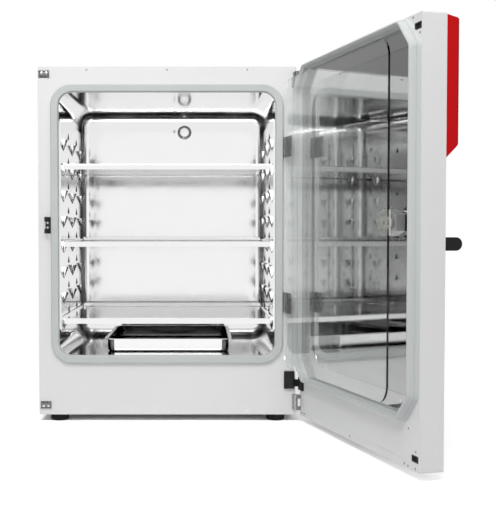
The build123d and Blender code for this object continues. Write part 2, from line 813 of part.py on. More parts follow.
def door_seal():
    """Hollow-look silicone frame: sloped outside, rounded crest, straight inside."""
    crest = front_y - seal_clearance
    ring = loft([Plane.XZ.offset(-door_inner_y) * seal_outline(0),
                 Plane.XZ.offset(-crest) * seal_outline(seal_slope)])
    ring -= prism_y(seal_outline(seal_band), door_inner_y - 1, crest + 1)
    return fillet(edges_at_y(ring, crest), seal_round)


def control_outline(shrink=0.0):
    """Side view of the control housing: sloped below, slightly falling above."""
    reach = door_outer_y - control_depth + shrink
    low, high = control_bottom_z + 1.42 * shrink, control_top_z - shrink
    return Polygon((door_outer_y, low), (reach, low + control_depth - shrink),
                   (reach, high - control_top_fall), (door_outer_y, high), align=None)


def control_housing():
    """Full-width moulded cover on the door's outer face, with a seat for the display."""
    cover = prism_x(control_outline(), -half_width, half_width)
    reach = door_outer_y - control_depth
    cover = fillet(edges_at_y(cover, reach), control_round)
    cover -= prism_x(control_outline(control_wall), -half_width + control_wall, half_width - control_wall)
    seat = Pos(0, display_z) * Rectangle(display_width + 2 * display_gap, display_height + 2 * display_gap)
    return cover - prism_y(seat, reach - 1, reach + control_wall + 1)


def touch_display():
    """Dark glass on a wider carrier that clips behind the cover."""
    face = door_outer_y - control_depth
    at = Pos(0, display_z)
    glass = prism_y(at * Rectangle(display_width, display_height), face - display_proud, face + control_wall)
    carrier = at * Rectangle(display_width + 2 * display_lip, display_height + 2 * display_lip)
    return glass + prism_y(carrier, face + control_wall, face + control_wall + display_sheet)


def door_handle():
    """Bow handle with a D-shaped end view and a finger gap behind the grip."""
    x0 = -half_width + handle_edge_inset
    x1 = x0 + handle_length
    straight = handle_depth - handle_height / 2
    mid = door_outer_y - straight / 2
    profile = Pos(mid, handle_z) * Rectangle(straight, handle_height)
    profile += Pos(door_outer_y - straight, handle_z) * Circle(handle_height / 2)
    bow = prism_x(profile, x0, x1)
    gap = block(x0 + handle_post, x1 - handle_post, door_outer_y + 1, door_outer_y - handle_depth + handle_grip,
                handle_z - handle_height, handle_z + handle_height)
    return bow - gap


# ---------------------------------------------------------------- outer door hinges
def door_hinge_base(z0):
    """Cabinet leaf with the middle knuckle."""
    axis_x, axis_y = door_axis.position.X, door_axis.position.Y
    low, high = z0 + door_hinge_lug + hinge_play, z0 + door_hinge_height - door_hinge_lug - hinge_play
    x0 = half_width - door_hinge_leaf
    leaf = block(x0, half_width, front_y - 3, front_y, z0, z0 + door_hinge_height)
    arm = block(axis_x - door_hinge_radius, axis_x, axis_y, front_y, low, high)
    arm -= block(half_width, axis_x + 1, front_y - 1, front_y + 1, low, high)
    knuckle = rod_z(axis_x, axis_y, door_hinge_radius, low, high)
    return leaf + arm + knuckle - rod_z(axis_x, axis_y, door_hinge_pin_radius + pin_play, z0, z0 + door_hinge_height)


def door_hinge_lugs(z0):
    """Two lugs on the door, above and below the cabinet's knuckle."""
    axis_x, axis_y = door_axis.position.X, door_axis.position.Y
    lugs = []
    for low in (z0, z0 + door_hinge_height - door_hinge_lug):
        high = low + door_hinge_lug
        lug = block(axis_x - door_hinge_radius, half_width, door_inner_y, axis_y, low, high)
        lug += rod_z(axis_x, axis_y, door_hinge_radius, low, high)
        lugs.append(lug - rod_z(axis_x, axis_y, door_hinge_pin_radius + pin_play, low - 1, high + 1))
    return swing_door(Compound(lugs))


def door_hinge_pins():
    axis_x, axis_y = door_axis.position.X, door_axis.position.Y
    return Compound([rod_z(axis_x, axis_y, door_hinge_pin_radius, z0, z0 + door_hinge_height)
                     for z0 in door_hinge_bottom_z])


# ---------------------------------------------------------------- glass door
def glass_pane():
    return plate(chamber_mid_z, glass_width, glass_height, glass_corner_radius, glass_outer_y, glass_inner_y)


def glass_hinge_base(z0):
    """Block on the front frame beside the gasket, with the middle knuckle."""
    third = glass_hinge_height / 3
    low, high = z0 + third + hinge_play, z0 + 2 * third - hinge_play
    inner = chamber_half + gasket_set_back + gasket_band + 0.5
    outer = glass_axis_x + glass_hinge_radius
    base = block(inner, outer, front_y - glass_gap + 1, front_y, z0, z0 + glass_hinge_height)
    arm = block(glass_half + 0.5, outer, glass_axis_y, front_y, low, high)
    knuckle = rod_z(glass_axis_x, glass_axis_y, glass_hinge_radius, low, high)
    return base + arm + knuckle - rod_z(glass_axis_x, glass_axis_y, glass_hinge_pin_radius + pin_play, low - 1, high + 1)


def glass_hinge_leaf(z0):
    """Leaf bonded to the glass, with the upper and lower knuckles."""
    third = glass_hinge_height / 3
    face = glass_outer_y - glass_leaf_sheet
    leaf = block(glass_half - glass_leaf, glass_half - 2, face, glass_outer_y, z0, z0 + glass_hinge_height)
    for low in (z0, z0 + 2 * third):
        bridge = glass_axis_y - glass_hinge_radius
        leaf += block(glass_half - 8, glass_axis_x, bridge, face + 1, low, low + third)
        leaf += rod_z(glass_axis_x, glass_axis_y, glass_hinge_radius, low, low + third)
    leaf -= rod_z(glass_axis_x, glass_axis_y, glass_hinge_pin_radius + pin_play, z0 - 1, z0 + glass_hinge_height + 1)
    return swing_glass(leaf)


def glass_hinge_pins():
    return Compound([rod_z(glass_axis_x, glass_axis_y, glass_hinge_pin_radius, z0, z0 + glass_hinge_height)
                     for z0 in glass_hinge_bottom_z])


def latch_plate():
    """D-shaped plate on the outer side of the glass, straight along the free edge."""
    edge = -glass_half
    face = glass_outer_y - latch_plate_sheet
    radius = latch_plate_height / 2
    straight = latch_plate_width - radius
    outline = Pos(edge + straight / 2, latch_z) * Rectangle(straight, latch_plate_height)
    outline += Pos(edge + straight, latch_z) * Circle(radius)
    body = prism_y(outline, face, glass_outer_y)
    for dx, dz in latch_plate_holes:
        body -= rod_y(edge + dx, latch_z + dz, latch_plate_hole_radius, face - 1, glass_outer_y + 1)
    return swing_glass(body - rod_y(knob_x, latch_z, spigot_radius + pin_play, face - 1, glass_outer_y + 1))


def knob_outline(radius):
    return Pos(knob_x, latch_z) * RegularPolygon(radius, knob_sides)


def latch_knob():
    """Five-sided turn knob, tapered towards the glass, on a neck carried by a spigot in the plate."""
    face = glass_outer_y - latch_plate_sheet - latch_play
    front = glass_outer_y - knob_standoff
    back = face - tongue_sheet - latch_play
    rim = back - knob_back_slope
    body = prism_y(knob_outline(knob_radius), front, rim)
    body = chamfer(edges_at_y(body, front), knob_front_chamfer)
    taper = loft([Plane.XZ.offset(-rim) * knob_outline(knob_radius),
                  Plane.XZ.offset(-back) * knob_outline(knob_back_radius)])
    neck = rod_y(knob_x, latch_z, neck_radius, back, face)
    spigot = rod_y(knob_x, latch_z, spigot_radius, face, glass_outer_y - pin_play)
    return swing_glass(body + taper + neck + spigot)


def latch_tongue():
    """Cam on the knob's neck, reaching past the edge of the glass."""
    face = glass_outer_y - latch_plate_sheet - latch_play
    back = face - tongue_sheet
    arm = Pos(knob_x - tongue_reach / 2, latch_z) * RectangleRounded(tongue_reach, tongue_height, tongue_sheet)
    hub = Pos(knob_x, latch_z) * Circle(neck_radius + 3)
    cam = prism_y(arm + hub, back, face)
    return swing_glass(cam - rod_y(knob_x, latch_z, neck_radius, back - 1, face + 1))


def strike_screw_places():
    x = strike_outer_x + strike_sheet + screw_radius + 1
    reach = strike_waist / 2 - screw_radius - 1
    return [(x, latch_z - reach), (x, latch_z + reach)]


def glass_door_strike():
    """Keeper on the front frame: the level tongue passes between its lips, the turned tongue sits behind one."""
    half = strike_height / 2
    waist = strike_waist / 2
    inner = -(chamber_half + gasket_set_back + gasket_band + 0.6)
    lip_back = glass_outer_y - latch_plate_sheet - 2 * latch_play - tongue_sheet
    lip_front = lip_back - strike_sheet
    keeper = block(strike_outer_x, inner, front_y - strike_base, front_y, latch_z - half, latch_z + half)
    for low, high in ((latch_z - half, latch_z - waist), (latch_z + waist, latch_z + half)):
        keeper += block(strike_outer_x, strike_outer_x + strike_sheet, lip_front, front_y, low, high)
        keeper += block(strike_outer_x, strike_outer_x + strike_lip, lip_front, lip_back, low, high)
    for x, z in strike_screw_places():
        keeper -= rod_y(x, z, screw_radius + screw_hole_gap, front_y - strike_base - 1, front_y + 1)
    return keeper


# ---------------------------------------------------------------- cable link
def cable_box():
    x1 = half_width - cable_box_edge_inset
    x0 = x1 - cable_box_width
    z1 = cable_box_bottom_z + cable_box_height
    box = block(x0, x1, front_y - cable_box_depth, front_y, cable_box_bottom_z, z1)
    return chamfer(edges_at_y(box, front_y - cable_box_depth), 2.0)


def cable_bracket():
    half = cable_bracket_height / 2
    x0 = half_width - 1.0 - cable_bracket_width
    y1 = door_inner_y + cable_bracket_sheet
    body = block(x0, half_width - 1.0, door_inner_y, y1, cable_mid_z - half, cable_mid_z + half)
    return swing_door(chamfer(edges_at_y(body, y1), 2.0))


def cable_sleeve():
    """Flat rubber sleeve over the wires, from the box on the cabinet to the bracket on the door."""
    x0 = half_width - cable_box_edge_inset
    y0 = front_y - cable_box_depth / 2
    hinge = door_axis.position
    turn = math.radians(door_open_angle)
    dx, dy = half_width - 1.0 - hinge.X, door_inner_y + cable_bracket_sheet / 2 - hinge.Y
    x1 = hinge.X + dx * math.cos(turn) - dy * math.sin(turn)
    y1 = hinge.Y + dx * math.sin(turn) + dy * math.cos(turn)
    length = math.hypot(x1 - x0, y1 - y0)
    angle = math.degrees(math.atan2(y1 - y0, x1 - x0))
    band = Pos((x0 + x1) / 2, (y0 + y1) / 2, cable_mid_z) * Rot(0, 0, angle)
    sleeve = band * Box(length, cable_band, cable_band_height)
    return sleeve - cable_box() - cable_bracket()


nodes = {
    "housing_side_left": housing_side(-1),
    "housing_side_right": housing_side(1),
    "housing_top": housing_top(),
    "housing_base": housing_base(),
    "housing_rear": housing_rear(),
    "front_frame": front_frame(),
    "hinge_covers": hinge_covers(),
    "cabinet_screws": cabinet_screws(),
    "cabinet_insulation": cabinet_insulation(),
    "heating_foils": heating_foils(),
    "chamber_liner": chamber_liner(),
    "chamber_gasket": chamber_gasket(),
    "side_support_panel_left": side_support_panel(-1),
    "side_support_panel_right": side_support_panel(1),
    "port_sleeve": port_sleeve(),
    "port_stopper": port_stopper(),
    "sensor_probe": sensor_probe(),
    "electronics_module": electronics_module(),
    "mains_inlet": mains_inlet(),
    "gas_fitting": gas_fitting(),
    "glass_door_strike": glass_door_strike(),
    "cable_box": cable_box(),
    "cable_sleeve": cable_sleeve(),
    "cable_bracket": cable_bracket(),
    "door_hinge_base_lower": door_hinge_base(door_hinge_bottom_z[0]),
    "door_hinge_base_upper": door_hinge_base(door_hinge_bottom_z[1]),
    "door_hinge_lugs_lower": door_hinge_lugs(door_hinge_bottom_z[0]),
    "door_hinge_lugs_upper": door_hinge_lugs(door_hinge_bottom_z[1]),
    "door_hinge_pins": door_hinge_pins(),
    "door_outer_shell": swing_door(door_outer_shell()),
    "door_inner_panel": swing_door(door_inner_panel()),
    "door_screws": door_screws(),
    "door_hinge_sockets": door_hinge_sockets(),
    "door_insulation": door_insulation(),
    "door_mirror_panel": swing_door(door_mirror_panel()),
    "door_seal": swing_door(door_seal()),
    "control_housing": swing_door(control_housing()),
    "touch_display": swing_door(touch_display()),
    "door_handle": swing_door(door_handle()),
    "glass_pane": swing_glass(glass_pane()),
    "glass_hinge_base_lower": glass_hinge_base(glass_hinge_bottom_z[0]),
    "glass_hinge_base_upper": glass_hinge_base(glass_hinge_bottom_z[1]),
    "glass_hinge_leaf_lower": glass_hinge_leaf(glass_hinge_bottom_z[0]),
    "glass_hinge_leaf_upper": glass_hinge_leaf(glass_hinge_bottom_z[1]),
    "glass_hinge_pins": glass_hinge_pins(),
    "latch_plate": latch_plate(),
    "latch_knob": latch_knob(),
    "latch_tongue": latch_tongue(),
    "water_tray": water_tray(),
}
for name, x, y in foot_places():
    nodes[name] = foot(x, y)
for name, row in shelf_rows:
    nodes[name] = shelf(row)

os.makedirs("parts", exist_ok=True)
for name, shape in nodes.items():
    export_step(shape, f"parts/{name}.step")
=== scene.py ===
import json
import math
import bmesh
import bpy
from mathutils import Matrix, Vector


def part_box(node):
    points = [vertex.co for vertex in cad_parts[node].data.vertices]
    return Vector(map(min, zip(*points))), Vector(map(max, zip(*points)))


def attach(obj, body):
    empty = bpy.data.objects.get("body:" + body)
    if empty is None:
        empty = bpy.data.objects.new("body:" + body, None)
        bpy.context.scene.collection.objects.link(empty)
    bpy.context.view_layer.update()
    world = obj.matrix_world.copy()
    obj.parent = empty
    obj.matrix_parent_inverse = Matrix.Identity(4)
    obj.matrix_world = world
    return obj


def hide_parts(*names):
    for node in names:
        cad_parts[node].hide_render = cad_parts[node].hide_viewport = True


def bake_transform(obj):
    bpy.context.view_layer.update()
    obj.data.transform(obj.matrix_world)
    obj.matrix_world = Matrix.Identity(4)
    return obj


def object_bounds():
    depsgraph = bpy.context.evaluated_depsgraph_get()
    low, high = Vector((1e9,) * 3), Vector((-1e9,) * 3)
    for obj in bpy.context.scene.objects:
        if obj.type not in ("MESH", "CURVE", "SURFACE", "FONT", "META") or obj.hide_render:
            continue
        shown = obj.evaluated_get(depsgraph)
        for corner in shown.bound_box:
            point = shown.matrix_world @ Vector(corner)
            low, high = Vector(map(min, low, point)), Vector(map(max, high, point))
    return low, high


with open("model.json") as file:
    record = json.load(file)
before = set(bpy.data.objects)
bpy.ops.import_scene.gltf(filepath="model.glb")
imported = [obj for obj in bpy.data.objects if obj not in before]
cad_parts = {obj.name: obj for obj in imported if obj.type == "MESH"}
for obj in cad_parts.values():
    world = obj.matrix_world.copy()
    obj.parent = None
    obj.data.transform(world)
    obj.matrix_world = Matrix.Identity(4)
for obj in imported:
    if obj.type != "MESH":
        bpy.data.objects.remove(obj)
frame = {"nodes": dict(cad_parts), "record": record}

cad_box = [list(corner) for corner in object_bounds()]
nodes = frame["nodes"]
scene = bpy.context.scene


def add_object(name, data):
    """New object in the scene."""
    obj = bpy.data.objects.new(name, data)
    scene.collection.objects.link(obj)
    return obj


# ---- Camera ----
camera_data = bpy.data.cameras.new("camera")
camera_data.sensor_width = 36.0
camera_data.lens = 70.5
camera_data.shift_x = 0.095
camera_data.shift_y = 0.0226
camera_data.clip_end = 50.0
camera = add_object("camera", camera_data)
camera.location = (0.092, -3.252, 0.522)
camera.rotation_euler = (math.radians(88.0), 0.0, 0.0)
scene.camera = camera

# ---- Shader nodes ----
WHITE = (1.0, 1.0, 1.0, 1.0)


def add_node(tree, kind, values=None, operation=None):
    """New node with an operation and with values on its inputs."""
    node = tree.nodes.new(kind)
    if operation:
        node.operation = operation
    for socket, value in (values or {}).items():
        node.inputs[socket].default_value = value
    return node


def combined(tree, operation, sockets):
    """One value from several, taken together by a math operation."""
    result, *others = sockets
    for socket in others:
        node = add_node(tree, "ShaderNodeMath", operation=operation)
        tree.links.new(result, node.inputs[0])
        tree.links.new(socket, node.inputs[1])
        result = node.outputs[0]
    return result


def mixed(tree, factor, first, second):
    """The first shader where the factor is 0, the second where it is 1."""
    mix = add_node(tree, "ShaderNodeMixShader")
    tree.links.new(factor, mix.inputs["Fac"])
    tree.links.new(first, mix.inputs[1])
    tree.links.new(second, mix.inputs[2])
    return mix.outputs["Shader"]


def rays(tree, *kinds):
    """1 for rays of any of these kinds, else 0."""
    path = add_node(tree, "ShaderNodeLightPath")
    return combined(tree, "MAXIMUM", [path.outputs[f"Is {kind} Ray"] for kind in kinds])


def noise(tree, scale, detail=2.0, stretch=(1.0, 1.0, 1.0)):
    """Noise in the object's own metres."""
    place = add_node(tree, "ShaderNodeTexCoord")
    mapping = add_node(tree, "ShaderNodeMapping", {"Scale": stretch})
    texture = add_node(tree, "ShaderNodeTexNoise", {"Scale": scale, "Detail": detail})
    tree.links.new(place.outputs["Object"], mapping.inputs["Vector"])
    tree.links.new(mapping.outputs["Vector"], texture.inputs["Vector"])
    return texture.outputs["Fac"]


def add_bump(tree, shader, height, strength, distance):
    """Relief from a height socket; distance is in metres."""
    bump = add_node(tree, "ShaderNodeBump", {"Strength": strength, "Distance": distance})
    tree.links.new(height, bump.inputs["Height"])
    tree.links.new(bump.outputs["Normal"], shader.inputs["Normal"])


def vary_color(tree, shader, factor, dark, light):
    """Base colour that drifts between two tones."""
    ramp = add_node(tree, "ShaderNodeValToRGB")
    for element, position, color in zip(ramp.color_ramp.elements, (0.35, 0.65), (dark, light)):
        element.position = position
        element.color = (*color, 1.0)
    tree.links.new(factor, ramp.inputs["Fac"])
    tree.links.new(ramp.outputs["Color"], shader.inputs["Base Color"])


def vary_roughness(tree, shader, factor, low, high):
    """Roughness that drifts between two values."""
    span = add_node(tree, "ShaderNodeMapRange",
                    {"From Min": 0.3, "From Max": 0.7, "To Min": low, "To Max": high})
    tree.links.new(factor, span.inputs["Value"])
    tree.links.new(span.outputs["Result"], shader.inputs["Roughness"])


# ---- Materials ----
def material(name, color, roughness, metallic=0.0):
    """Principled material; returns it with its node tree and shader."""
    mat = bpy.data.materials.new(name)
    mat.use_nodes = True
    shader = mat.node_tree.nodes["Principled BSDF"]
    shader.inputs["Base Color"].default_value = (*color, 1.0)
    shader.inputs["Roughness"].default_value = roughness
    shader.inputs["Metallic"].default_value = metallic
    return mat, mat.node_tree, shader


def darker(color, share):
    return tuple(channel * share for channel in color)


def painted(name, color, roughness):
    """Powder coat: faint orange peel and slow changes of tone."""
    mat, tree, shader = material(name, color, roughness)
    vary_color(tree, shader, noise(tree, 2.5), darker(color, 0.985), color)
    add_bump(tree, shader, noise(tree, 420.0, 3.0), 0.05, 0.0004)
    return mat


def steel(name, color, low, high, stretch=(1.0, 1.0, 1.0), peel=0.02, metallic=1.0):
    """Sheet or turned metal: cloudy polish between two roughnesses, fine rolled grain."""
    mat, tree, shader = material(name, color, low, metallic)
    vary_roughness(tree, shader, noise(tree, 9.0, 4.0), low, high)
    add_bump(tree, shader, noise(tree, 260.0, 2.0, stretch), peel, 0.0002)
    return mat


def plastic(name, color, roughness, grain, strength, gloss=0.5):
    """Moulded plastic with a spark-eroded grain."""
    mat, tree, shader = material(name, color, roughness)
    shader.inputs["Specular IOR Level"].default_value = gloss
    vary_color(tree, shader, noise(tree, grain * 0.5), darker(color, 0.9), color)
    add_bump(tree, shader, noise(tree, grain, 3.0), strength, 0.0005)
    return mat


def silicone(name, color, roughness):
    """Soft matt rubber or wool that lets a little light in."""
    mat, tree, shader = material(name, color, roughness)
    vary_color(tree, shader, noise(tree, 6.0, 3.0), darker(color, 0.97), color)
    add_bump(tree, shader, noise(tree, 700.0, 2.0), 0.04, 0.0003)
    shader.inputs["Subsurface Weight"].default_value = 0.08
    shader.inputs["Subsurface Radius"].default_value = (0.004, 0.004, 0.004)
    return mat


def clear_glass():
    """Float glass that the lamps' shadow rays pass straight through."""
    mat, tree, shader = material("clear_float_glass", (0.97, 0.98, 0.975), 0.0)
    shader.inputs["Transmission Weight"].default_value = 1.0
    shader.inputs["IOR"].default_value = 1.45
    clear = add_node(tree, "ShaderNodeBsdfTransparent", {"Color": (0.92, 0.93, 0.925, 1.0)})
    surface = mixed(tree, rays(tree, "Shadow"), shader.outputs["BSDF"], clear.outputs["BSDF"])
    tree.links.new(surface, tree.nodes["Material Output"].inputs["Surface"])
    return mat


def shaded_tray_steel(name, color, inner, low, high, wall):
    """Steel, darker within the walls of a tray that fills the box low to high: painted shade in
    the tray's hollow.
    """
    mat, tree, shader = material(name, color, 0.1, 1.0)
    vary_roughness(tree, shader, noise(tree, 9.0, 4.0), 0.08, 0.16)
    place = add_node(tree, "ShaderNodeTexCoord")
    split = add_node(tree, "ShaderNodeSeparateXYZ")
    tree.links.new(place.outputs["Object"], split.inputs["Vector"])
    middle, half = (low + high) / 2, (high - low) / 2
    within = []
    for k, axis in enumerate("XY"):
        near = add_node(tree, "ShaderNodeMath", {1: middle[k], 2: half[k] - wall}, "COMPARE")
        tree.links.new(split.outputs[axis], near.inputs[0])
        within.append(near.outputs[0])
    ramp = add_node(tree, "ShaderNodeValToRGB")
    ramp.color_ramp.elements[0].color = (*color, 1.0)
    ramp.color_ramp.elements[1].color = (*inner, 1.0)
    tree.links.new(combined(tree, "MULTIPLY", within), ramp.inputs["Fac"])
    tree.links.new(ramp.outputs["Color"], shader.inputs["Base Color"])
    return mat


materials = {
    "white_paint": painted("powder_coat_white", (0.84, 0.84, 0.84), 0.5),
    "grey_steel": painted("sheet_grey", (0.55, 0.56, 0.57), 0.5),
    "insulation": silicone("insulation_wool", (0.62, 0.56, 0.40), 0.95),
    "heater_foil": plastic("heater_silicone", (0.30, 0.06, 0.03), 0.6, 300.0, 0.2),
    "stainless": steel("stainless_electropolished", (0.89, 0.89, 0.89), 0.07, 0.13),
    "polished_steel": steel("stainless_mirror", (0.63, 0.63, 0.63), 0.02, 0.04, peel=0.003),
    "grey_silicone": silicone("seal_silicone", (0.60, 0.625, 0.62), 0.45),
    "white_silicone": silicone("gasket_silicone", (0.58, 0.605, 0.60), 0.4),
    "red_plastic": plastic("cover_red", (0.62, 0.004, 0.006), 0.62, 900.0, 0.35, 0.15),
    "display_glass": plastic("display_black", (0.012, 0.012, 0.014), 0.08, 40.0, 0.0),
    "black_plastic": plastic("plastic_black", (0.012, 0.012, 0.013), 0.5, 1200.0, 0.15, 0.25),
    "black_rubber": plastic("rubber_black", (0.008, 0.008, 0.008), 0.7, 800.0, 0.25, 0.2),
    "hinge_steel": steel("hinge_satin", (0.30, 0.303, 0.305), 0.22, 0.32, (1.0, 1.0, 8.0), 0.05),
    "bright_metal": steel("fittings_bright", (0.55, 0.55, 0.56), 0.12, 0.18),
    "electronics_case": painted("case_grey", (0.35, 0.36, 0.37), 0.5),
    "brass": steel("brass_satin", (0.60, 0.42, 0.16), 0.25, 0.35),
    "clear_glass": clear_glass(),
}
own_finish = {
    "latch_plate": plastic("nickel_satin", (0.66, 0.665, 0.62), 0.4, 500.0, 0.1, 0.4),
    "latch_knob": steel("knob_satin", (0.38, 0.38, 0.385), 0.22, 0.28, metallic=0.45),
    "glass_door_strike": plastic("strike_black", (0.014, 0.014, 0.015), 0.3, 900.0, 0.1, 0.4),
    "door_screws": steel("screws_dark", (0.16, 0.16, 0.16), 0.3, 0.4),
    "door_hinge_sockets": plastic("socket_grey", (0.075, 0.075, 0.085), 0.4, 900.0, 0.15, 0.4),
    # the tray's inside is painted darker: painted shade
    "water_tray": shaded_tray_steel("tray_painted_shade", (0.94, 0.94, 0.94), (0.20, 0.20, 0.202),
                              *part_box("water_tray"), 0.0095),
}
# Polished steel with a dark base colour: painted shade. On the port collar it stands in for dark
# reflections, on the louvres for the shade in their openings.
shaded_chrome = steel("chrome_painted_shade", (0.22, 0.22, 0.22), 0.04, 0.08, peel=0.004)
catch_zinc = steel("catch_zinc", (0.17, 0.17, 0.17), 0.3, 0.4)

slot_of = {entry["node"]: entry["material_slot"] for entry in frame["record"]["subparts"]}
for name, obj in nodes.items():
    obj.data.materials.clear()
    obj.data.materials.append(own_finish.get(name, materials[slot_of[name]]))


# ---- Floor: keeps the shadow near the object and fades to plain white away from it ----
def plain_mesh(name, vertices, faces):
    """Object from a list of vertices and faces."""
    mesh = bpy.data.meshes.new(name)
    mesh.from_pydata(vertices, [], faces)
    mesh.update()
    return add_object(name, mesh)


def floor_material(middle_x, fade_from, fade_to):
    """Pale grey to soft light; to the camera, mirrors and glass a doubled white, above 1 where
    the lamps reach it, that fades to plain white further out."""
    mat, tree, grey = material("floor_pale", (0.80, 0.80, 0.81), 1.0)
    grey.inputs["Specular IOR Level"].default_value = 0.0
    place = add_node(tree, "ShaderNodeTexCoord")
    about = add_node(tree, "ShaderNodeMapping", {"Location": (-middle_x, 0.0, 0.0)})
    away = add_node(tree, "ShaderNodeVectorMath", operation="LENGTH")
    fade = add_node(tree, "ShaderNodeMapRange", {"From Min": fade_from, "From Max": fade_to})
    tree.links.new(place.outputs["Object"], about.inputs["Vector"])
    tree.links.new(about.outputs["Vector"], away.inputs[0])
    tree.links.new(away.outputs["Value"], fade.inputs["Value"])
    diffuse = add_node(tree, "ShaderNodeBsdfDiffuse", {"Color": WHITE})
    lit = add_node(tree, "ShaderNodeAddShader")
    for socket in lit.inputs:
        tree.links.new(diffuse.outputs["BSDF"], socket)
    plain = add_node(tree, "ShaderNodeEmission", {"Strength": 1.0})
    shown = mixed(tree, fade.outputs["Result"], lit.outputs["Shader"], plain.outputs["Emission"])
    seen = rays(tree, "Camera", "Glossy", "Transmission")
    surface = mixed(tree, seen, grey.outputs["BSDF"], shown)
    tree.links.new(surface, tree.nodes["Material Output"].inputs["Surface"])
    return mat


FLOOR_REACH = 12.0
floor_z = cad_box[0][2]
floor_corners = [(x * FLOOR_REACH, y * FLOOR_REACH, floor_z)
                 for x, y in ((-1, -1), (1, -1), (1, 1), (-1, 1))]
floor = plain_mesh("floor", floor_corners, [(0, 1, 2, 3)])
floor.data.materials.append(floor_material(0.15, 0.75, 1.5))


# ---- Perforated shelves ----
def welded(name, quads):
    """Object from loose quads; corners that meet become one vertex."""
    index = {}
    faces = []
    for quad in quads:
        corners = [tuple(round(value, 6) for value in point) for point in quad]
        faces.append([index.setdefault(corner, len(index)) for corner in corners])
    return plain_mesh(name, list(index), faces)


def flat_quad(x0, x1, y0, y1, z):
    return [(x0, y0, z), (x1, y0, z), (x1, y1, z), (x0, y1, z)]


def hole_cell(x, y, w, h, radius, z):
    """Eight quads round an eight-sided hole, out to the rectangle of the cell."""
    steps = [(1, 0), (1, 1), (0, 1), (-1, 1), (-1, 0), (-1, -1), (0, -1), (1, -1)]
    rim = [(x + i * w / 2, y + j * h / 2, z) for i, j in steps]
    turns = [k * math.pi / 4 for k in range(8)]
    hole = [(x + radius * math.cos(turn), y + radius * math.sin(turn), z) for turn in turns]
    quads = []
    for k in range(8):
        m = (k + 1) % 8
        quads.append([hole[k], rim[k], rim[m], hole[m]])
    return quads


def folded(points, outward, fold, height, reverse=False):
    """Quads that take an edge round a bend and on up or down; outward leads off the sheet."""
    dx, dy = outward
    up = math.copysign(1.0, height)
    profile = [(0.0, 0.0), (0.6 * fold, 0.12 * fold), (0.88 * fold, 0.4 * fold), (fold, fold),
               (fold, abs(height))]
    quads = []
    for (ax, ay, az), (bx, by, bz) in zip(points, points[1:]):
        for (out0, rise0), (out1, rise1) in zip(profile, profile[1:]):
            quad = [(ax + dx * out0, ay + dy * out0, az + up * rise0),
                    (bx + dx * out0, by + dy * out0, bz + up * rise0),
                    (bx + dx * out1, by + dy * out1, bz + up * rise1),
                    (ax + dx * out1, ay + dy * out1, az + up * rise1)]
            quads.append(quad[::-1] if reverse else quad)
    return quads


SHELF_SHEET = 0.0012
SHELF_FOLD = 0.002
SHELF_FRONT_RIM = 0.016
SHELF_SIDE_RIM = 0.005
SHELF_PLAIN_EDGE = 0.016
HOLE_RADIUS = 0.0041
HOLE_COLUMNS, HOLE_ROWS = 44, 41


def perforated_shelf(node):
    """Shelf sheet with staggered rows of holes, folded down in front and up at the other edges."""
    low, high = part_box(node)
    z = low.z + SHELF_FRONT_RIM
    x0, x1 = low.x + SHELF_SHEET + SHELF_FOLD, high.x - SHELF_SHEET - SHELF_FOLD
    y0, y1 = low.y + SHELF_FOLD, high.y - SHELF_SHEET - SHELF_FOLD
    gx0, gx1 = x0 + SHELF_PLAIN_EDGE, x1 - SHELF_PLAIN_EDGE
    gy0, gy1 = y0 + SHELF_PLAIN_EDGE, y1 - SHELF_PLAIN_EDGE
    w, h = (gx1 - gx0) / HOLE_COLUMNS, (gy1 - gy0) / HOLE_ROWS
    quads = []
    for j in range(HOLE_ROWS):
        cy = gy0 + (j + 0.5) * h
        odd = j % 2
        for i in range(HOLE_COLUMNS - odd):
            quads += hole_cell(gx0 + (i + 0.5 + 0.5 * odd) * w, cy, w, h, HOLE_RADIUS, z)
        if odd:
            for ax, bx in ((gx0, gx0 + w / 2), (gx1 - w / 2, gx1)):
                for ay, by in ((cy - h / 2, cy), (cy, cy + h / 2)):
                    quads.append(flat_quad(ax, bx, ay, by, z))
    xs = [gx0 + k * w / 2 for k in range(2 * HOLE_COLUMNS + 1)]
    ys = [gy0 + k * h / 2 for k in range(2 * HOLE_ROWS + 1)]
    for ax, bx in zip(xs, xs[1:]):
        quads += [flat_quad(ax, bx, y0, gy0, z), flat_quad(ax, bx, gy1, y1, z)]
    for ay, by in zip(ys, ys[1:]):
        quads += [flat_quad(x0, gx0, ay, by, z), flat_quad(gx1, x1, ay, by, z)]
    for ax, bx in ((x0, gx0), (gx1, x1)):
        for ay, by in ((y0, gy0), (gy1, y1)):
            quads.append(flat_quad(ax, bx, ay, by, z))
    row = [x0, *xs, x1]
    column = [y0, *ys, y1]
    side, back = SHELF_SIDE_RIM, high.z - z
    quads += folded([(x, y0, z) for x in row], (0, -1), SHELF_FOLD, -SHELF_FRONT_RIM, True)
    quads += folded([(x, y1, z) for x in row], (0, 1), SHELF_FOLD, back)
    quads += folded([(x0, y, z) for y in column], (-1, 0), SHELF_FOLD, side)
    quads += folded([(x1, y, z) for y in column], (1, 0), SHELF_FOLD, side, True)
    piece = welded(node + "_sheet", quads)
    piece.data.materials.append(materials["stainless"])
    thickness = piece.modifiers.new("sheet", "SOLIDIFY")
    thickness.thickness = SHELF_SHEET
    thickness.offset = -1.0
    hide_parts(node)
    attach(piece, node)


for name in ("shelf_lower", "shelf_middle", "shelf_upper"):
    perforated_shelf(name)


# ---- Shaping ----
FORWARD = (0, -1, 0)


def add_slab(mesh, low, high, bevel, slot=0):
    """Box with rounded edges."""
    before = set(mesh.faces)
    made = bmesh.ops.create_cube(mesh, size=1.0)["verts"]
    middle = (Vector(low) + Vector(high)) / 2
    size = Vector(high) - Vector(low)
    for vertex in made:
        vertex.co = middle + vertex.co * size
    edges = dict.fromkeys(edge for vertex in made for edge in vertex.link_edges)
    bmesh.ops.bevel(mesh, geom=list(edges), offset=bevel, segments=2, profile=0.5,
                    affect="EDGES")
    for face in set(mesh.faces) - before:
        face.material_index = slot


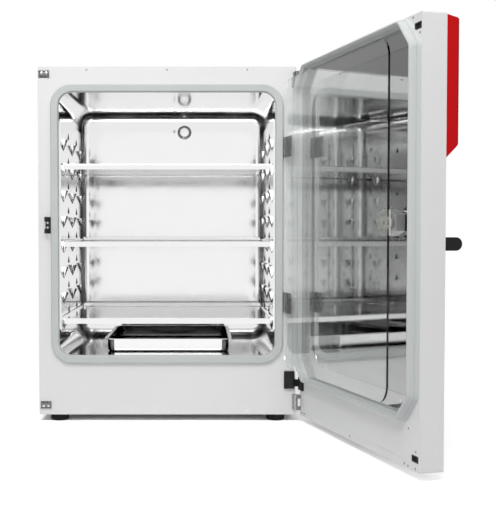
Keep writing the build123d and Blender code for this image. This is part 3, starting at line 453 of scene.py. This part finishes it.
def add_loft(mesh, rings, slot=0, closed=False):
    """Skin over rings of vertices: closed from the last to the first, or capped at its ends."""
    pairs = list(zip(rings, rings[1:]))
    if closed:
        pairs.append((rings[-1], rings[0]))
    faces = []
    for lower, upper in pairs:
        for k in range(len(lower)):
            m = (k + 1) % len(lower)
            faces.append(mesh.faces.new((lower[k], lower[m], upper[m], upper[k])))
    if not closed:
        faces.append(mesh.faces.new(rings[0][::-1]))
        faces.append(mesh.faces.new(rings[-1]))
    for face in faces:
        face.material_index = slot


def add_turned(mesh, profile, center, axis, slot=0, segments=32, closed=False):
    """Turned form; the profile is a list of (radius, height along the axis)."""
    axis = Vector(axis).normalized()
    side = axis.orthogonal().normalized()
    across = axis.cross(side)
    rings = []
    for radius, height in profile:
        ring = []
        for k in range(segments):
            turn = 2 * math.pi * k / segments
            out = side * math.cos(turn) + across * math.sin(turn)
            ring.append(mesh.verts.new(Vector(center) + axis * height + out * radius))
        rings.append(ring)
    add_loft(mesh, rings, slot, closed)


def object_from(mesh, name, finishes, angle):
    """Object from a bmesh, smooth but where faces meet at more than the angle."""
    bmesh.ops.recalc_face_normals(mesh, faces=mesh.faces)
    data = bpy.data.meshes.new(name)
    mesh.to_mesh(data)
    mesh.free()
    data.shade_smooth()
    data.set_sharp_from_angle(angle=math.radians(angle))
    for finish in finishes:
        data.materials.append(finish)
    return add_object(name, data)


def piece_from(mesh, name, body, finishes, turn=None, angle=35.0):
    """Piece from a bmesh, moved by the matrix turn, riding on a body."""
    if turn:
        bmesh.ops.transform(mesh, matrix=turn, verts=mesh.verts)
    piece = object_from(mesh, name, finishes, angle)
    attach(piece, body)
    return piece


joints = {joint["name"]: joint for joint in frame["record"]["behaviour"]["joints"]}


def swing(name):
    """From the closed door, in which its details are laid out, to the open door at rest."""
    place = Vector(joints[name]["pos_m"])
    angle = -math.radians(joints[name]["range_deg"][0])
    return (Matrix.Translation(place) @ Matrix.Rotation(angle, 4, "Z")
            @ Matrix.Translation(-place))


def closed_box(node, name):
    """Lowest and highest corner of a node when its door is closed."""
    back = swing(name).inverted()
    points = [back @ vertex.co for vertex in nodes[node].data.vertices]
    low = Vector([min(point[k] for point in points) for k in range(3)])
    high = Vector([max(point[k] for point in points) for k in range(3)])
    return low, high


# ---- Door seal: two lips on a hollow profile, swept round the cut corners ----
SEAL_BAND = 0.017
SEAL_CUT = 0.064
SEAL_ROUND = 0.030
# share of the band's width, from the outer edge in, and of the seal's height
SEAL_PROFILE = [(0.0, 0.0), (0.08, 0.22), (0.13, 0.34), (0.22, 0.36), (0.24, 0.40), (0.18, 0.44),
                (0.29, 0.74), (0.37, 0.88), (0.50, 0.975), (0.63, 0.992), (0.71, 0.965),
                (0.74, 0.90), (0.80, 0.895), (0.90, 0.86), (0.97, 0.78), (1.0, 0.68),
                (1.0, 0.50), (0.95, 0.46), (0.95, 0.40), (1.0, 0.36), (1.0, 0.0)]


def seal_ring(inset, low, high):
    """Points round the seal at an inset: a rectangle with cut corners, each rounded."""
    x0, x1, z0, z1 = low.x + inset, high.x - inset, low.z + inset, high.z - inset
    edge = SEAL_CUT - (2 - math.sqrt(2)) * inset
    corners = [(x1, z0 + edge), (x1, z1 - edge), (x1 - edge, z1), (x0 + edge, z1),
               (x0, z1 - edge), (x0, z0 + edge), (x0 + edge, z0), (x1 - edge, z0)]
    radius = SEAL_ROUND - inset
    reach = radius * math.tan(math.radians(22.5))
    points = []
    for k, corner in enumerate(corners):
        here = Vector(corner)
        before = (here - Vector(corners[k - 1])).normalized()
        arc_start = here - before * reach
        centre = arc_start + Vector((-before.y, before.x)) * radius
        spoke = arc_start - centre
        for step in range(7):
            turn = math.radians(45.0 * step / 6)
            points.append((centre.x + spoke.x * math.cos(turn) - spoke.y * math.sin(turn),
                           centre.y + spoke.x * math.sin(turn) + spoke.y * math.cos(turn)))
    return points


def door_seal_profile():
    """The hollow seal on the outer door, in place of the plain ring."""
    low, high = closed_box("door_seal", "outer_door_hinge")
    height = high.y - low.y
    mesh = bmesh.new()
    rings = []
    for share, rise in SEAL_PROFILE:
        outline = seal_ring(share * SEAL_BAND, low, high)
        rings.append([mesh.verts.new((x, low.y + rise * height, z)) for x, z in outline])
    add_loft(mesh, rings, closed=True)
    piece = piece_from(mesh, "door_seal_profile", "outer_door",
                       [materials["grey_silicone"]], swing("outer_door_hinge"), 50.0)
    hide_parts("door_seal")


door_seal_profile()

# ---- Cable sleeve: corrugated rubber across the hinge ----
BOOT_END_INSET = 0.0045
BOOT_HALF_DEPTH = 0.0034
BOOT_FOLDS = 5
BOOT_STEPS = 40
BOOT_SIDES = 24
BOOT_SQUARENESS = 0.45


def squared(value):
    """Sine or cosine pushed outwards, which turns a circle into a rounded rectangle."""
    return math.copysign(abs(value) ** BOOT_SQUARENESS, value)


def cable_boot():
    """Ribbed boot from the cable box to the door's bracket."""
    low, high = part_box("cable_sleeve")
    middle_z = (low.z + high.z) / 2
    start = Vector((low.x, high.y - BOOT_END_INSET, middle_z))
    end = Vector((high.x, low.y + BOOT_END_INSET, middle_z))
    along = (end - start).normalized()
    across = Vector((-along.y, along.x, 0.0))
    half_height = (high.z - low.z) / 2
    mesh = bmesh.new()
    rings = []
    for i in range(BOOT_STEPS + 1):
        share = i / BOOT_STEPS
        swell = 0.5 - 0.5 * math.cos(2 * math.pi * BOOT_FOLDS * share)
        tall = half_height - 0.0016 + 0.0013 * swell
        deep = BOOT_HALF_DEPTH - 0.0011 + 0.0011 * swell
        centre = start.lerp(end, share)
        ring = []
        for k in range(BOOT_SIDES):
            turn = 2 * math.pi * k / BOOT_SIDES
            out = across * (deep * squared(math.cos(turn)))
            rise = Vector((0, 0, tall * squared(math.sin(turn))))
            ring.append(mesh.verts.new(centre + out + rise))
        rings.append(ring)
    add_loft(mesh, rings)
    piece = object_from(mesh, "cable_boot", [materials["black_rubber"]], 180.0)
    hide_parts("cable_sleeve")
    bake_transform(piece)


cable_boot()

# ---- Access port: chromed collar with painted dark reflections, and the stopper's steel cap ----
# distance outside the port's radius, and height off the rear wall
COLLAR_PROFILE = [(0.0006, 0.0), (0.0008, 0.0016), (0.0024, 0.0034), (0.0044, 0.0038),
                  (0.0064, 0.0028), (0.0078, 0.0)]
CAP_PLAY = 0.0004


def access_port():
    """Collar round the port, on the cabinet, and cap on the stopper."""
    low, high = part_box("port_stopper")
    centre = Vector(((low.x + high.x) / 2, low.y, (low.z + high.z) / 2))
    radius = (high.x - low.x) / 2
    collar_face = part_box("port_sleeve")[0].y
    mesh = bmesh.new()
    add_turned(mesh, [(radius + out, height) for out, height in COLLAR_PROFILE],
               (centre.x, collar_face, centre.z), FORWARD, 0, 64, True)
    # the collar's dark colour is a painted dark reflection
    piece_from(mesh, "port_collar", "cabinet", [shaded_chrome])
    mesh = bmesh.new()
    cap = radius - CAP_PLAY
    add_turned(mesh, [(cap - 0.0006, 0.0), (cap, 0.0006), (cap, 0.0018), (cap - 0.0008, 0.0026),
                      (cap * 0.6, 0.0029), (cap * 0.3, 0.0030), (cap * 0.1, 0.0030)],
               centre, FORWARD, 0, 64)
    piece_from(mesh, "port_stopper_cap", "port_stopper", [materials["stainless"]])


access_port()


# ---- Painted shade: a dark sheet behind each support panel, and dark drop-shaped louvres on it ----
def panel_side(side):
    """A support panel's box, the X of its face to the wall, and the sign of the way in."""
    low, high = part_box("side_support_panel_" + side)
    return (low, high, low.x, 1.0) if side == "left" else (low, high, high.x, -1.0)


SHADE_SHEET_GAP = 0.001
SHADE_SHEET_THICKNESS = 0.0005
SHADE_SHEET_INSET_Y = 0.012
SHADE_SHEET_INSET_Z = 0.02


def shade_sheet(side):
    """Dark sheet in the gap behind a support panel, seen through its openings: painted shade, a
    sheet the real cabinet does not have.
    """
    low, high, wall, inward = panel_side(side)
    x0, x1 = sorted((wall + inward * SHADE_SHEET_GAP, wall + inward * (SHADE_SHEET_GAP + SHADE_SHEET_THICKNESS)))
    mesh = bmesh.new()
    add_slab(mesh, (x0, low.y + SHADE_SHEET_INSET_Y, low.z + SHADE_SHEET_INSET_Z),
             (x1, high.y - SHADE_SHEET_INSET_Y, high.z - SHADE_SHEET_INSET_Z), 0.0002)
    # the black sheet stands in for the shadow in the gap behind the panel: painted shade
    piece_from(mesh, "shade_sheet_" + side, "cabinet",
               [materials["black_plastic"]])


LOUVRE_SHARES = (0.335, 0.727)
LOUVRE_ROWS = 8
LOUVRE_PITCH = 0.0746
LOUVRE_FIRST = 0.051
LOUVRE_OUTSET = 0.004
LOUVRE_DEPTH = 0.0026
LOUVRE_HALF_WIDTH = 0.0065
# height above the louvre's foot, and share of its full width and depth
LOUVRE_PROFILE = [(0.0, 0.55), (0.002, 0.85), (0.005, 1.0), (0.010, 0.8), (0.016, 0.42),
                  (0.022, 0.05)]


def louvres(side):
    """Louvres in the rows between the scoops of a support panel, dark with painted shade."""
    low, high, wall, inward = panel_side(side)
    face = wall + inward * LOUVRE_OUTSET
    depth = high.y - low.y
    mesh = bmesh.new()
    for row in range(LOUVRE_ROWS):
        for share in LOUVRE_SHARES:
            foot = Vector((face, low.y + share * depth,
                           low.z + LOUVRE_FIRST + row * LOUVRE_PITCH))
            rings = []
            for rise, wide in LOUVRE_PROFILE:
                ring = []
                for k in range(9):
                    turn = math.pi * k / 8
                    offset = Vector((inward * LOUVRE_DEPTH * wide * math.sin(turn),
                                     LOUVRE_HALF_WIDTH * wide * math.cos(turn), rise))
                    ring.append(mesh.verts.new(foot + offset))
                rings.append(ring)
            add_loft(mesh, rings)
    # the louvres' dark colour is painted shade of their openings
    piece_from(mesh, "support_louvres_" + side, "cabinet", [shaded_chrome],
               None, 60.0)


shade_sheet("left")
shade_sheet("right")
louvres("left")
louvres("right")

# ---- Latch catches on the cabinet's front corners ----
CATCH_WIDE = 0.031
CATCH_TALL = 0.021
CATCH_SHEET = 0.0012
CATCH_RIM = 0.0025
CATCH_RIM_DEPTH = 0.0042
ROLLER_PROFILE = [(0.0044, 0.0), (0.0044, 0.0022), (0.0036, 0.0032), (0.0016, 0.0036),
                  (0.0012, 0.0028)]
SCREW_PROFILE = [(0.0023, 0.0), (0.0023, 0.0007), (0.0016, 0.0009)]
SORT_AXIS = Vector((1.0, 0.37, 0.61))


def latch_catch(name, x0, z0, flip):
    """Pressed catch plate with two rollers and two screws."""
    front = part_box("front_frame")[0].y
    x1, z1 = x0 + CATCH_WIDE, z0 + CATCH_TALL
    rim_front, rim_back, face = front - CATCH_RIM_DEPTH, front - 0.001, front - 0.0011
    mesh = bmesh.new()
    add_slab(mesh, (x0, front - CATCH_SHEET, z0), (x1, front, z1), 0.0005)
    add_slab(mesh, (x0, rim_front, z1 - CATCH_RIM), (x1, rim_back, z1), 0.0006)
    add_slab(mesh, (x1 - CATCH_RIM, rim_front, z0), (x1, rim_back, z1), 0.0006)
    for share in (0.30, 0.74):
        place = (x0 + share * CATCH_WIDE, face, z0 + 0.64 * CATCH_TALL)
        add_turned(mesh, ROLLER_PROFILE, place, FORWARD, 1, 24)
    for share in (0.30, 0.62):
        place = (x0 + share * CATCH_WIDE, face, z0 + 0.15 * CATCH_TALL)
        add_turned(mesh, SCREW_PROFILE, place, FORWARD, 2, 20)
    # bevels leave the faces of several slabs in another order each run
    mesh.verts.sort(key=lambda vertex: vertex.co.dot(SORT_AXIS))
    mesh.faces.sort(key=lambda face: face.calc_center_median().dot(SORT_AXIS))
    turn = None
    if flip:
        middle = Vector(((x0 + x1) / 2, front, (z0 + z1) / 2))
        turn = (Matrix.Translation(middle) @ Matrix.Scale(-1, 4, (0, 0, 1))
                @ Matrix.Translation(-middle))
    piece_from(mesh, name, "cabinet",
               [catch_zinc, materials["bright_metal"], materials["black_plastic"]], turn)


frame_low, frame_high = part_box("front_frame")
latch_catch("latch_catch_upper", frame_low.x + 0.0022, frame_high.z - 0.0320, False)
latch_catch("latch_catch_lower", frame_low.x + 0.0042, frame_low.z + 0.0180, True)

# ---- World: white to the camera, a soft room to matt surfaces, a bright front to mirrors ----
world = bpy.data.worlds.new("room")
scene.world = world
world.use_nodes = True
tree = world.node_tree
white = tree.nodes["Background"]
white.inputs["Color"].default_value = WHITE
direction = add_node(tree, "ShaderNodeTexCoord")
split = add_node(tree, "ShaderNodeSeparateXYZ")
tree.links.new(direction.outputs["Generated"], split.inputs["Vector"])


def room(stops):
    """Background whose strength follows the direction's Y: 0 is the front, 1 is the back."""
    shader = add_node(tree, "ShaderNodeBackground", {"Color": WHITE})
    level = add_node(tree, "ShaderNodeMapRange", {"From Min": -1.0, "From Max": 1.0})
    ramp = add_node(tree, "ShaderNodeValToRGB")
    while len(ramp.color_ramp.elements) < len(stops):
        ramp.color_ramp.elements.new(0.5)
    for element, (position, value) in zip(ramp.color_ramp.elements, stops):
        element.position = position
        element.color = (value, value, value, 1.0)
    tree.links.new(split.outputs["Y"], level.inputs["Value"])
    tree.links.new(level.outputs["Result"], ramp.inputs["Fac"])
    tree.links.new(ramp.outputs["Color"], shader.inputs["Strength"])
    return shader.outputs["Background"]


soft = room([(0.0, 0.60), (0.2, 0.40), (0.45, 0.18), (0.6, 0.21), (1.0, 0.37)])
studio = room([(0.0, 1.0), (0.075, 1.0), (0.095, 0.50), (0.125, 0.46), (0.16, 0.07),
               (0.25, 0.02), (0.6, 0.04), (1.0, 0.4)])
by_surface = mixed(tree, rays(tree, "Glossy", "Transmission"), soft, studio)
by_camera = mixed(tree, rays(tree, "Camera"), by_surface, white.outputs["Background"])
tree.links.new(by_camera, tree.nodes["World Output"].inputs["Surface"])


# ---- Lamps ----
def softbox(name, location, target, size, power):
    """Rectangular lamp aimed at a point."""
    data = bpy.data.lights.new(name, "AREA")
    data.shape = "RECTANGLE"
    data.size, data.size_y = size
    data.energy = power
    lamp = add_object(name, data)
    lamp.location = location
    aim = Vector(target) - Vector(location)
    lamp.rotation_euler = aim.to_track_quat("-Z", "Y").to_euler()


softbox("key", (-0.35, -2.7, 2.5), (0.0, -0.3, 0.7), (2.0, 1.2), 46.0)
softbox("top", (0.2, -0.6, 3.2), (0.2, -0.3, 0.5), (3.0, 3.0), 30.0)

bpy.context.scene.view_settings.view_transform = "Standard"
